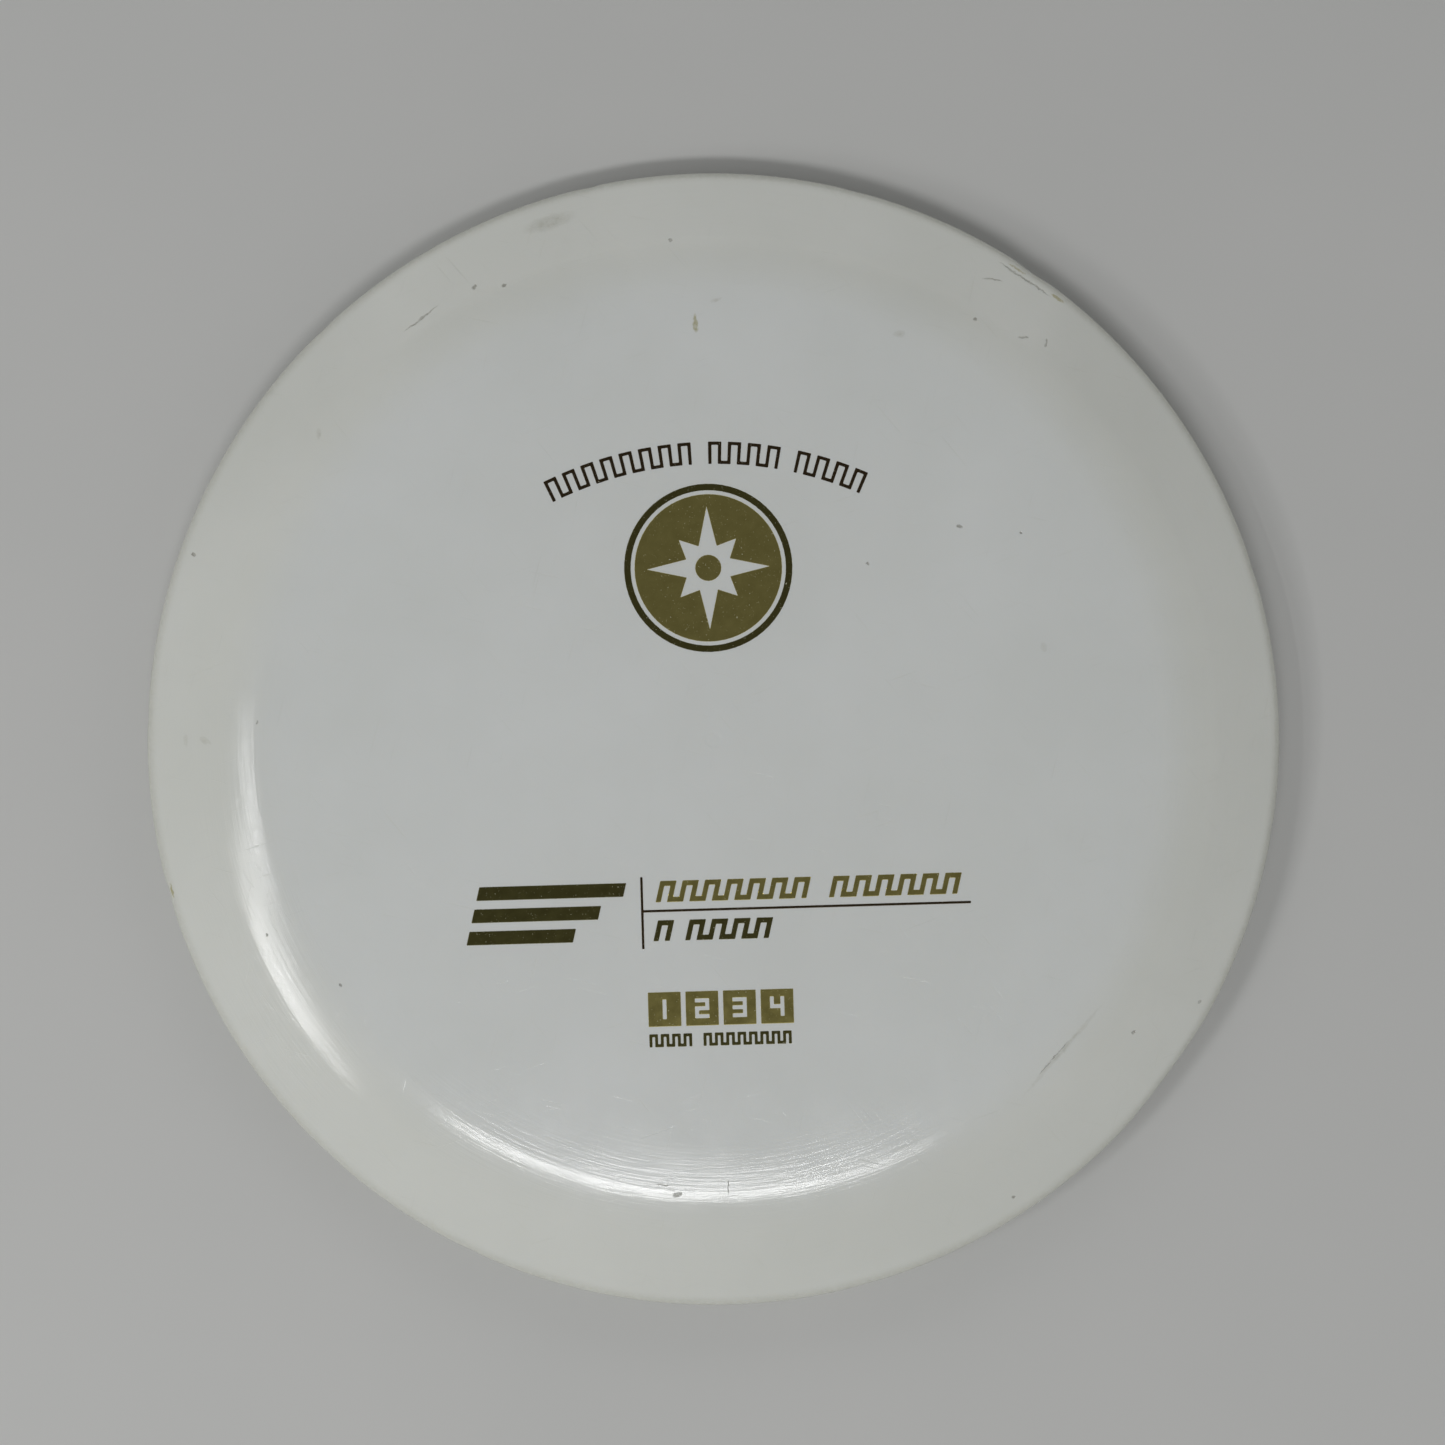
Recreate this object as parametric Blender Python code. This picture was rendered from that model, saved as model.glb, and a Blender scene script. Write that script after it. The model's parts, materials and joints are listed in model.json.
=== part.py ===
"""A flying disc for distance throws: one injection-moulded disc and the foil stamped on its flight plate.

Units are metres. +Z is up along the spin axis, the origin is the centre of the plane that the rim
stands on, and +Y points from the disc's centre to the stamp's round emblem.
"""

import math

import bmesh
import bpy
from mathutils import Vector

# The moulded disc: its outer size, and the rim that the fingers grip
DISC_RADIUS = 0.106
DISC_HEIGHT = 0.017
INNER_RIM_RADIUS = 0.089
INNER_RIM_DRAFT = 0.0005
RIM_DEPTH = 0.0126
PLATE_THICKNESS = 0.0018
FLAT_UNDERSIDE_RADIUS = 0.059

# The top: a flat flight plate, a long low crown, then a shoulder and the slope to the nose
CROWN_RADIUS = 0.071
CROWN_SLOPE = math.radians(4.5)
SHOULDER_RADIUS = 0.0885
UPPER_SLOPE = math.radians(23.0)
NOSE_ROUNDING = 0.0019
WING_SLOPE = math.radians(25.0)

# Fillet radii of the outline's other corners
CROWN_ROUNDING = 0.306
SHOULDER_ROUNDING = 0.034
WING_FOOT_ROUNDING = 0.004
INNER_FOOT_ROUNDING = 0.0012
INNER_TOP_ROUNDING = 0.0026

TURNED_SEGMENTS = 96

# The foil: far thinner on the real disc, and as thick here as a closed solid needs
FOIL_GAP = 0.00005
FOIL_THICKNESS = 0.0001

# The stamp's arc of fretwork, over the emblem
ARC_BASELINE_RADIUS = 0.0667
ARC_CENTRE_Y = -0.0163
ARC_HEIGHT = 0.0041
ARC_STROKE = 0.0006
ARC_PITCH = 0.00345
ARC_GROUPS = {"left": 8, "middle": 4, "right": 4}
ARC_GROUP_GAP = 0.0030

# The round emblem: a thin ring, a field pierced by a compass star, and a hub
EMBLEM_CENTRE_Y = 0.0314
EMBLEM_RADIUS = 0.0154
EMBLEM_RING_WIDTH = 0.0012
EMBLEM_RING_GAP = 0.0007
STAR_LONG_POINT = 0.0112
STAR_SHORT_POINT = 0.0074
STAR_VALLEY = 0.0043
HUB_RADIUS = 0.0024
ROUND_STEPS = 64
HUB_STEPS = 24

# The title block: three speed bars, two thin rules that cross in a T, and slanted fretwork
TITLE_SLANT = math.tan(math.radians(14.0))
TITLE_BAR_LENGTHS = {"bottom": 0.0195, "middle": 0.0232, "top": 0.0269}
TITLE_BAR_LEFT_X = -0.0462
TITLE_BAR_BOTTOM_Y = -0.0364
TITLE_BAR_HEIGHT = 0.0025
TITLE_BAR_PITCH = 0.00405
RULE_WIDTH = 0.00045
RULE_LEFT_X = -0.0141
RULE_RIGHT_X = 0.0463
RULE_LEVEL_Y = -0.0313
RULE_TOP_Y = -0.0248
RULE_BOTTOM_Y = -0.0380
TITLE_STROKE = 0.00095
TITLE_PITCH = 0.0041
TITLE_UPPER_HEIGHT = 0.0039
TITLE_UPPER_Y = -0.0295
TITLE_UPPER = {"left": (-0.0114, 7), "right": (0.0203, 6)}
TITLE_LOWER_HEIGHT = 0.0038
TITLE_LOWER_Y = -0.0366
TITLE_LOWER = {"left": (-0.0120, 1), "right": (-0.0062, 4)}

# The row of numbered squares and the small fretwork under them
SQUARE_WIDTH = 0.0060
SQUARE_HEIGHT = 0.0063
SQUARE_PITCH = 0.00687
SQUARE_CENTRE_Y = -0.0491
DIGIT_WIDTH = 0.0026
DIGIT_HEIGHT = 0.0036
DIGIT_STROKE = 0.0007
DIGIT_BARS = {1: "bc", 2: "abged", 3: "abgcd", 4: "fgbc"}
CAPTION_Y = -0.0560
CAPTION_HEIGHT = 0.0024
CAPTION_STROKE = 0.00055
CAPTION_PITCH = 0.00208
CAPTION = {"left": (-0.01325, 4), "right": (-0.00335, 8)}

# name: (base colour, roughness, metallic)
FINISHES = {
    "moulded_polyurethane": ((0.76, 0.79, 0.77), 0.30, 0.0),
    "gold_foil": ((0.56, 0.49, 0.16), 0.20, 0.9),
    "dark_gold_foil": ((0.26, 0.24, 0.10), 0.20, 0.9),
    "brown_foil": ((0.20, 0.15, 0.08), 0.20, 0.8),
}


def clear_scene():
    """Take every object out of the open scene."""
    for old in list(bpy.data.objects):
        bpy.data.objects.remove(old, do_unlink=True)


def finish(name):
    """The named material, made the first time that a piece asks for it."""
    material = bpy.data.materials.get(name)
    if material:
        return material
    colour, roughness, metallic = FINISHES[name]
    material = bpy.data.materials.new(name)
    material.use_nodes = True
    shader = material.node_tree.nodes["Principled BSDF"]
    shader.inputs["Base Color"].default_value = (*colour, 1.0)
    shader.inputs["Roughness"].default_value = roughness
    shader.inputs["Metallic"].default_value = metallic
    return material


def add_piece(name, shape, material_name):
    """Turn a finished bmesh into a named object at the origin."""
    mesh = bpy.data.meshes.new(name)
    shape.to_mesh(mesh)
    shape.free()
    mesh.materials.append(finish(material_name))
    mesh.shade_smooth()
    mesh.set_sharp_from_angle(angle=math.radians(30.0))
    piece = bpy.data.objects.new(name, mesh)
    bpy.context.scene.collection.objects.link(piece)
    return piece


def fillet(before, corner, after, rounding, steps):
    """The points of an arc that rounds one corner of an outline, from one straight side to the next."""
    back = (before - corner).normalized()
    ahead = (after - corner).normalized()
    half_angle = back.angle(ahead) / 2
    centre = corner + (back + ahead).normalized() * (rounding / math.sin(half_angle))
    start = corner + back * (rounding / math.tan(half_angle)) - centre
    sweep = math.pi - 2 * half_angle
    turning = 1.0 if back.x * ahead.y - back.y * ahead.x < 0 else -1.0
    points = []
    for step in range(steps + 1):
        turn = turning * sweep * step / steps
        across = start.x * math.cos(turn) - start.y * math.sin(turn)
        up = start.x * math.sin(turn) + start.y * math.cos(turn)
        points.append(centre + Vector((across, up)))
    return points


def disc_outline():
    """The disc's half section as (radius, height) points, from the top's centre to the underside's."""
    top = Vector((0.0, DISC_HEIGHT))
    crown = Vector((CROWN_RADIUS, DISC_HEIGHT))
    shoulder_drop = (SHOULDER_RADIUS - CROWN_RADIUS) * math.tan(CROWN_SLOPE)
    shoulder = Vector((SHOULDER_RADIUS, DISC_HEIGHT - shoulder_drop))
    # The nose's circle touches the upper slope, and the wing leaves it at its own slope
    nose_radius = DISC_RADIUS - NOSE_ROUNDING
    slope_height = shoulder.y - (nose_radius - SHOULDER_RADIUS) * math.tan(UPPER_SLOPE)
    nose_centre = Vector((nose_radius, slope_height - NOSE_ROUNDING / math.cos(UPPER_SLOPE)))
    tip_reach = NOSE_ROUNDING / math.sin((UPPER_SLOPE + WING_SLOPE) / 2)
    tip_tilt = (WING_SLOPE - UPPER_SLOPE) / 2
    tip = nose_centre + tip_reach * Vector((math.cos(tip_tilt), math.sin(tip_tilt)))
    wing_foot = Vector((tip.x - tip.y / math.tan(WING_SLOPE), 0.0))
    inner_foot = Vector((INNER_RIM_RADIUS, 0.0))
    inner_top = Vector((INNER_RIM_RADIUS - INNER_RIM_DRAFT, RIM_DEPTH))
    plate_edge = Vector((FLAT_UNDERSIDE_RADIUS, DISC_HEIGHT - PLATE_THICKNESS))

    points = [top]
    # The crown's arc runs straight into the shoulder's, so they share one point
    points += fillet(top, crown, shoulder, CROWN_ROUNDING, 4)[:-1]
    points += fillet(crown, shoulder, tip, SHOULDER_ROUNDING, 5)
    points += fillet(shoulder, tip, wing_foot, NOSE_ROUNDING, 8)
    points += fillet(tip, wing_foot, inner_foot, WING_FOOT_ROUNDING, 3)
    points += fillet(wing_foot, inner_foot, inner_top, INNER_FOOT_ROUNDING, 4)
    points += fillet(inner_foot, inner_top, plate_edge, INNER_TOP_ROUNDING, 5)
    points += [plate_edge, Vector((0.0, plate_edge.y))]
    return points


def turned(outline):
    """Spin a half section once round the Z axis and close it at both poles."""
    shape = bmesh.new()
    ring = [shape.verts.new((point.x, 0.0, point.y)) for point in outline]
    edges = [shape.edges.new(pair) for pair in zip(ring[:-1], ring[1:], strict=True)]
    bmesh.ops.spin(
        shape, geom=ring + edges, axis=(0, 0, 1), cent=(0, 0, 0),
        angle=math.tau, steps=TURNED_SEGMENTS, use_merge=True, use_duplicate=False,
    )
    bmesh.ops.remove_doubles(shape, verts=shape.verts[:], dist=1e-6)
    bmesh.ops.recalc_face_normals(shape, faces=shape.faces[:])
    return shape


def foil_island(name, columns, rows, is_foil, place, material_name):
    """One island of foil: the cells of a grid that hold foil, each line bent into place, made a thin solid.

    columns and rows are the grid's lines, is_foil(column, row) says which cells stay, and
    place(along, up) gives the plate's (x, y) for a point of the grid.
    """
    shape = bmesh.new()
    corners = {}

    def corner(column, row):
        if (column, row) not in corners:
            x, y = place(columns[column], rows[row])
            corners[column, row] = shape.verts.new((x, y, DISC_HEIGHT + FOIL_GAP))
        return corners[column, row]

    for column in range(len(columns) - 1):
        for row in range(len(rows) - 1):
            if is_foil(column, row):
                low = (corner(column, row), corner(column + 1, row))
                high = (corner(column + 1, row + 1), corner(column, row + 1))
                shape.faces.new(low + high)
    bmesh.ops.remove_doubles(shape, verts=shape.verts[:], dist=1e-6)
    raised = bmesh.ops.extrude_face_region(shape, geom=shape.faces[:], use_keep_orig=True)
    top = [part for part in raised["geom"] if isinstance(part, bmesh.types.BMVert)]
    bmesh.ops.translate(shape, verts=top, vec=(0, 0, FOIL_THICKNESS))
    bmesh.ops.recalc_face_normals(shape, faces=shape.faces[:])
    return add_piece(name, shape, material_name)


def slanted(left_x, bottom_y):
    """A place function for pieces that lean like italics."""
    return lambda along, up: (left_x + along + up * TITLE_SLANT, bottom_y + up)


def upright(left_x, bottom_y):
    """A place function for pieces that stand square to the stamp."""
    return lambda along, up: (left_x + along, bottom_y + up)


def fretwork(name, turns, pitch, stroke, height, place, material_name):
    """A square-wave ribbon: uprights joined in turn at the top and at the bottom."""
    columns = []
    for post in range(2 * turns):
        columns += [post * pitch / 2, post * pitch / 2 + stroke]
    rows = [0.0, stroke, height - stroke, height]

    def is_foil(column, row):
        if column % 2 == 0:
            return True
        return row == (2 if column % 4 == 1 else 0)

    return foil_island(name, columns, rows, is_foil, place, material_name)


def stamp_arc():
    """The arc of fretwork over the emblem, in three groups centred on the +Y axis."""
    lengths = {side: turns * ARC_PITCH - ARC_PITCH / 2 + ARC_STROKE for side, turns in ARC_GROUPS.items()}
    start = -(sum(lengths.values()) + ARC_GROUP_GAP * (len(lengths) - 1)) / 2
    for side, turns in ARC_GROUPS.items():

        def place(along, up, start=start):
            turn = (start + along) / ARC_BASELINE_RADIUS
            reach = ARC_BASELINE_RADIUS + up
            return reach * math.sin(turn), ARC_CENTRE_Y + reach * math.cos(turn)

        fretwork(f"stamp_arc_{side}", turns, ARC_PITCH, ARC_STROKE, ARC_HEIGHT, place, "brown_foil")
        start += lengths[side] + ARC_GROUP_GAP


def star_edge(angle):
    """The compass star's distance from the emblem's centre in one direction."""
    eighth = math.pi / 8
    point = int(angle / eighth + 1e-6)
    reaches = [STAR_LONG_POINT, STAR_VALLEY, STAR_SHORT_POINT, STAR_VALLEY]
    near, far = reaches[point % 4], reaches[(point + 1) % 4]
    past = angle - point * eighth
    return near * far * math.sin(eighth) / (near * math.sin(past) + far * math.sin(eighth - past))


def emblem():
    """A ring, a pierced field and a hub, all round the same centre."""
    angles = [math.tau * step / ROUND_STEPS for step in range(ROUND_STEPS + 1)]
    field_radius = EMBLEM_RADIUS - EMBLEM_RING_WIDTH - EMBLEM_RING_GAP

    def polar(angle, reach):
        return reach * math.sin(angle), EMBLEM_CENTRE_Y + reach * math.cos(angle)

    def pierced(angle, share):
        inner = star_edge(angle % math.tau)
        return polar(angle, inner + (field_radius - inner) * share)

    everywhere = lambda column, row: True
    ring_rows = [EMBLEM_RADIUS - EMBLEM_RING_WIDTH, EMBLEM_RADIUS]
    foil_island("emblem_ring", angles, ring_rows, everywhere, polar, "dark_gold_foil")
    foil_island("emblem_field", angles, [0.0, 1.0], everywhere, pierced, "gold_foil")

    hub = bmesh.new()
    bmesh.ops.create_cone(
        hub, cap_ends=True, segments=HUB_STEPS,
        radius1=HUB_RADIUS, radius2=HUB_RADIUS, depth=FOIL_THICKNESS,
    )
    middle = Vector((0.0, EMBLEM_CENTRE_Y, DISC_HEIGHT + FOIL_GAP + FOIL_THICKNESS / 2))
    bmesh.ops.translate(hub, verts=hub.verts[:], vec=middle)
    add_piece("emblem_hub", hub, "gold_foil")


def title_block():
    """Three speed bars, the T of thin rules, and the slanted fretwork beside it."""
    everywhere = lambda column, row: True
    for step, (side, length) in enumerate(TITLE_BAR_LENGTHS.items()):
        rise = step * TITLE_BAR_PITCH
        place = slanted(TITLE_BAR_LEFT_X + rise * TITLE_SLANT, TITLE_BAR_BOTTOM_Y + rise)
        rows = [0.0, TITLE_BAR_HEIGHT]
        foil_island(f"title_bar_{side}", [0.0, length], rows, everywhere, place, "dark_gold_foil")

    middle = RULE_LEVEL_Y - RULE_BOTTOM_Y
    foil_island(
        "title_rules",
        [0.0, RULE_WIDTH, RULE_RIGHT_X - RULE_LEFT_X],
        [0.0, middle, middle + RULE_WIDTH, RULE_TOP_Y - RULE_BOTTOM_Y],
        lambda column, row: column == 0 or row == 1,
        upright(RULE_LEFT_X, RULE_BOTTOM_Y), "brown_foil",
    )
    lines = (
        ("upper", TITLE_UPPER, TITLE_UPPER_Y, TITLE_UPPER_HEIGHT, "gold_foil"),
        ("lower", TITLE_LOWER, TITLE_LOWER_Y, TITLE_LOWER_HEIGHT, "dark_gold_foil"),
    )
    for line, groups, bottom_y, height, foil in lines:
        for side, (left_x, turns) in groups.items():
            place = slanted(left_x, bottom_y)
            fretwork(
                f"title_band_{line}_{side}", turns, TITLE_PITCH, TITLE_STROKE, height, place, foil,
            )


def numbered_square(number, centre_x):
    """A square of foil with a plain bar digit left open in it."""
    half_width, half_height = DIGIT_WIDTH / 2, DIGIT_HEIGHT / 2
    stroke = DIGIT_STROKE
    # The digit 1 uses only the right-hand bars, so its grid moves left to centre them
    shift = -(half_width - stroke / 2) if number == 1 else 0.0
    digit_columns = [-half_width, -half_width + stroke, half_width - stroke, half_width]
    columns = [-SQUARE_WIDTH / 2, *(line + shift for line in digit_columns), SQUARE_WIDTH / 2]
    rows = [
        -SQUARE_HEIGHT / 2, -half_height, -half_height + stroke, -stroke / 2,
        stroke / 2, half_height - stroke, half_height, SQUARE_HEIGHT / 2,
    ]
    # Each bar of the digit as (columns it covers, rows it covers)
    bars = {
        "a": ((1, 2, 3), (5,)), "g": ((1, 2, 3), (3,)), "d": ((1, 2, 3), (1,)),
        "f": ((1,), (3, 4, 5)), "b": ((3,), (3, 4, 5)),
        "e": ((1,), (1, 2, 3)), "c": ((3,), (1, 2, 3)),
    }
    lit = [bars[bar] for bar in DIGIT_BARS[number]]

    def is_foil(column, row):
        return not any(column in across and row in up for across, up in lit)

    place = upright(centre_x, SQUARE_CENTRE_Y)
    foil_island(f"rating_square_{number}", columns, rows, is_foil, place, "gold_foil")


def rating_row():
    """Four numbered squares, and the caption's fretwork below them."""
    for number in DIGIT_BARS:
        numbered_square(number, (number - (len(DIGIT_BARS) + 1) / 2) * SQUARE_PITCH)
    for side, (left_x, turns) in CAPTION.items():
        place = upright(left_x, CAPTION_Y)
        fretwork(
            f"caption_band_{side}", turns, CAPTION_PITCH, CAPTION_STROKE, CAPTION_HEIGHT,
            place, "dark_gold_foil",
        )


clear_scene()
add_piece("disc_body", turned(disc_outline()), "moulded_polyurethane")
stamp_arc()
emblem()
title_block()
rating_row()
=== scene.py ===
# %% [markdown]
# # A well-used flying disc, from its CAD frame to its finish
#
# The object is one injection-moulded plastic disc with a stamp of metallic foil pressed into
# its flight plate. The imported CAD model is loaded first and gives every size and place. It is
# never moved: each finished piece is built beside it and then stands for one of its nodes.
# The work goes in this order: load the frame, turn the disc, press the foil, make the three
# kinds of material, and set the stage.

# %% Load the frame
import json
import math

import bmesh
import bpy
from mathutils import Matrix, Vector


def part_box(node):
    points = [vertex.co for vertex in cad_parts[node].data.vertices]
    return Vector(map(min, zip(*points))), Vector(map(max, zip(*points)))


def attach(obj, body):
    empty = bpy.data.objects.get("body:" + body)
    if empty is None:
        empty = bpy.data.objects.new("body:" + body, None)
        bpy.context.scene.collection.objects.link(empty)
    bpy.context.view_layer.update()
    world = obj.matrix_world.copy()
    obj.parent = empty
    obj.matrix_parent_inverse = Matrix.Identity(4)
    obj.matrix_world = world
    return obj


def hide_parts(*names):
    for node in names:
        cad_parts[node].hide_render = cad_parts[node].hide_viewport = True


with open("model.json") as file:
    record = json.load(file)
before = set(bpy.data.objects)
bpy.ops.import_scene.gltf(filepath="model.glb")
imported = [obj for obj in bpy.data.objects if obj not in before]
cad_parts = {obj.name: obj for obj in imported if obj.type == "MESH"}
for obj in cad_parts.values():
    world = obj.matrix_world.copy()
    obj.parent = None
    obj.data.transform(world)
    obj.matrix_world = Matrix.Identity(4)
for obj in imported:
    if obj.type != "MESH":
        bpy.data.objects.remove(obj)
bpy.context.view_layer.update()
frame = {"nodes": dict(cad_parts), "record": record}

MM = 0.001
disc_low, disc_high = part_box("disc_body")
disc_radius = disc_high.x
disc_height = disc_high.z
print(f"disc: {2 * disc_radius / MM:.1f} mm across and {disc_height / MM:.1f} mm high")

# %% [markdown]
# ## The section of the disc
#
# A golf-style disc is a body of revolution, so half of its section says everything about its
# shape: a flat flight plate, a long low crown, a shoulder, a straight slope to a blunt nose,
# the wing that runs back under it to a narrow foot, and a nearly upright inner wall for the
# fingers. It could be drawn as a finished curve, but a moulder's drawing gives straight sides
# with a fillet at each corner, and that is also the easiest way to change it. So the section
# starts as a few corners, each with the radius that rounds it. Two details come from the
# mould: the shallow dimple of the gate on top, and under it the cut nub and the fine ring
# where the mould's core insert ends.

# %% The section's corners, in millimetres
CROWN_SLOPE = math.radians(4.5)
UPPER_SLOPE = math.radians(23.0)
WING_SLOPE = math.radians(25.0)
PLATE_EDGE = 71.0
SHOULDER_REACH = 88.5
UNDER_LEVEL = 15.2
DIMPLE_DEPTH = 0.05
CORE_RING_DROP = 0.08
NOSE_ROUNDING = 1.9
# on so sharp a corner the bevel's arc stands this much proud of a true one
NOSE_BULGE = 0.49

top_level = disc_height / MM
nose_reach = disc_radius / MM
crown_fall = (SHOULDER_REACH - PLATE_EDGE) * math.tan(CROWN_SLOPE)
shoulder = Vector((SHOULDER_REACH, top_level - crown_fall))

# the nose's arc touches the upper slope and the wing, which meet at the tip
nose_middle = Vector((nose_reach - NOSE_BULGE - NOSE_ROUNDING, 0.0))
slope_level = shoulder.y - (nose_middle.x - shoulder.x) * math.tan(UPPER_SLOPE)
nose_middle.y = slope_level - NOSE_ROUNDING / math.cos(UPPER_SLOPE)
tip_reach = NOSE_ROUNDING / math.sin((UPPER_SLOPE + WING_SLOPE) / 2)
tip_tilt = (WING_SLOPE - UPPER_SLOPE) / 2
tip = nose_middle + tip_reach * Vector((math.cos(tip_tilt), math.sin(tip_tilt)))
wing_foot_reach = tip.x - tip.y / math.tan(WING_SLOPE)

# (radius, height, rounding): from the middle of the top, round the nose, to the underside
corners = [
    (0.0, top_level - DIMPLE_DEPTH, 0.0),
    (1.2, top_level - DIMPLE_DEPTH, 0.0),
    (1.7, top_level, 0.5),
    (PLATE_EDGE, top_level, 306.0),
    (shoulder.x, shoulder.y, 34.0),
    (tip.x, tip.y, NOSE_ROUNDING),
    (wing_foot_reach, 0.0, 4.0),
    (89.0, 0.0, 1.2),
    (88.5, 12.6, 2.6),
    (59.0, UNDER_LEVEL, 150.0),
    (40.2, UNDER_LEVEL, 0.0),
    (40.0, UNDER_LEVEL - CORE_RING_DROP, 0.0),
    (39.8, UNDER_LEVEL, 0.0),
    (2.6, UNDER_LEVEL, 0.4),
    (2.2, UNDER_LEVEL - 0.5, 0.3),
    (0.0, UNDER_LEVEL - 0.55, 0.0),
]
print(f"section: {len(corners)} corners, nose at {nose_middle.y:.2f} mm")

# %% [markdown]
# ## Rounding and turning the section
#
# The corners are joined into a wire, and a vertex bevel turns each of them into an arc. The
# bevel's offset is the distance from the corner to where the arc starts, which is the rounding
# times the tangent of half the turn. A wide arc shows in the gloss, so it gets finer steps than
# a tight one. The long straight stretches are then cut into shorter ones, so that the faces
# stay fairly even, and the wire is spun once round the Z axis.

# %% Round the corners
section = bmesh.new()
wire = [section.verts.new((across * MM, 0.0, up * MM)) for across, up, _ in corners]
for start, end in zip(wire[:-1], wire[1:]):
    section.edges.new((start, end))

WELD = 0.002 * MM
WIDE_ROUNDING = 30.0
WIDE_ARC_STEP = math.radians(1.0)
TIGHT_ARC_STEP = math.radians(5.2)
for point, (_, _, rounding) in zip(wire, corners):
    if rounding == 0.0:
        continue
    before, after = (edge.other_vert(point).co for edge in point.link_edges)
    turn = math.pi - (before - point.co).angle(after - point.co)
    arc_step = WIDE_ARC_STEP if rounding > WIDE_ROUNDING else TIGHT_ARC_STEP
    bmesh.ops.bevel(
        section, geom=[point], offset=rounding * MM * math.tan(turn / 2), offset_type="ABSOLUTE",
        segments=max(3, round(turn / arc_step)), profile=0.5, affect="VERTICES",
        material=-1, clamp_overlap=False,
    )
bmesh.ops.remove_doubles(section, verts=section.verts[:], dist=WELD)
print(f"rounded section: {len(section.verts)} points")

# %% Cut the long stretches and spin the section
LONGEST = 9.0 * MM
SPIN_STEPS = 480
for edge in section.edges[:]:
    cuts = int(edge.calc_length() / LONGEST)
    if cuts:
        bmesh.ops.subdivide_edges(section, edges=[edge], cuts=cuts)
bmesh.ops.spin(
    section, geom=section.verts[:] + section.edges[:], axis=(0, 0, 1), cent=(0, 0, 0),
    angle=math.tau, steps=SPIN_STEPS, use_merge=True, use_duplicate=False,
)
bmesh.ops.remove_doubles(section, verts=section.verts[:], dist=WELD)
bmesh.ops.recalc_face_normals(section, faces=section.faces[:])
print(f"turned disc: {len(section.faces)} faces")

# %% [markdown]
# ## The parting line and the worn nose
#
# The two halves of the mould meet at the widest part of the nose and leave a hair-fine bead
# there. A disc that has hit trees also has small flats and nicks in its nose. Both are moves of
# the nose's own vertices: the widest ring is scaled out a little, and each worn place is pushed
# in, deepest in its middle and fading to nothing at its ends.

# %% Parting bead and wear of the nose
BEAD_HEIGHT = 0.04 * MM
BEAD_BAND = 0.003 * MM
widest = max(math.hypot(point.co.x, point.co.y) for point in section.verts)
bead = [
    point for point in section.verts
    if math.hypot(point.co.x, point.co.y) > widest - BEAD_BAND
]
swell = 1 + BEAD_HEIGHT / widest
bmesh.ops.scale(section, verts=bead, vec=(swell, swell, 1.0))

# (direction in degrees, half length and depth in millimetres)
NOSE_WEAR = [
    (322.0, 15.0, 0.30), (54.0, 4.5, 0.28), (194.0, 3.2, 0.22), (176.0, 2.4, 0.12),
    (132.0, 4.0, 0.10), (101.0, 2.6, 0.14), (16.0, 3.0, 0.12), (284.0, 3.6, 0.10),
    (243.0, 2.4, 0.14), (226.0, 3.0, 0.10), (349.0, 2.4, 0.10), (74.0, 3.0, 0.08),
]
NOSE_DEPTH = 2.6 * MM
for point in section.verts:
    from_axis = math.hypot(point.co.x, point.co.y)
    if from_axis < disc_radius - NOSE_DEPTH:
        continue
    heading = math.atan2(point.co.y, point.co.x)
    near_tip = (from_axis - disc_radius + NOSE_DEPTH) / NOSE_DEPTH
    pushed = 0.0
    for direction, half_length, depth in NOSE_WEAR:
        turned_by = math.remainder(heading - math.radians(direction), math.tau)
        away = turned_by * disc_radius / (half_length * MM)
        if abs(away) < 1.0:
            pushed += depth * MM * (1 - away * away) ** 2
    point.co.xy *= 1 - pushed * near_tip / from_axis
print(f"nose: {len(bead)} bead points, {len(NOSE_WEAR)} worn places")

# %% Make the disc an object
def add_object(name, shape):
    """Turns a finished bmesh into an object at the origin, with its place in its mesh."""
    mesh = bpy.data.meshes.new(name)
    shape.to_mesh(mesh)
    shape.free()
    made = bpy.data.objects.new(name, mesh)
    bpy.context.scene.collection.objects.link(made)
    return made


disc = add_object("moulded_disc", section)
print(f"{disc.name}: {len(disc.data.vertices)} points")

# %% [markdown]
# ## The stamp's foil
#
# The stamp is hot-pressed: a heated die pushes each island of the foil a few hundredths of a
# millimetre into the plastic, and the foil follows the die's edge down. A picture on the plate
# would look printed, so every island is its own piece in its own shallow bed. Each takes its
# outline from its CAD node, which has the right shape but lies on the plate. Only the edges
# round the node's top are kept, as loops of wire, because a wire's corners can be rounded as a
# die's are without any inner edges in the way. The loops are filled, the fill is thickened, and
# the top is inset in two steps, so that it drops from a thin lip, level with the plate, into a
# shallow tray. The lip stands a hair above the plate, and the foil's underside a hair above the
# bottom of its bed, so that no two faces lie in one plane.

# %% One island's outline, from its CAD node
LIP = 0.004 * MM
UNDER_FOIL = 0.075 * MM
BED = 0.085 * MM
DIE_CORNER = 0.13 * MM
# (how far in, how far up), from the lip to the tray's floor
TRAY_STEPS = [(0.025 * MM, -0.025 * MM), (0.035 * MM, -0.029 * MM)]
NODE_WELD = 0.001 * MM
STRAIGHT = math.radians(0.5)
SHARP = math.radians(30.0)
FACES_UP = 0.9


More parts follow.
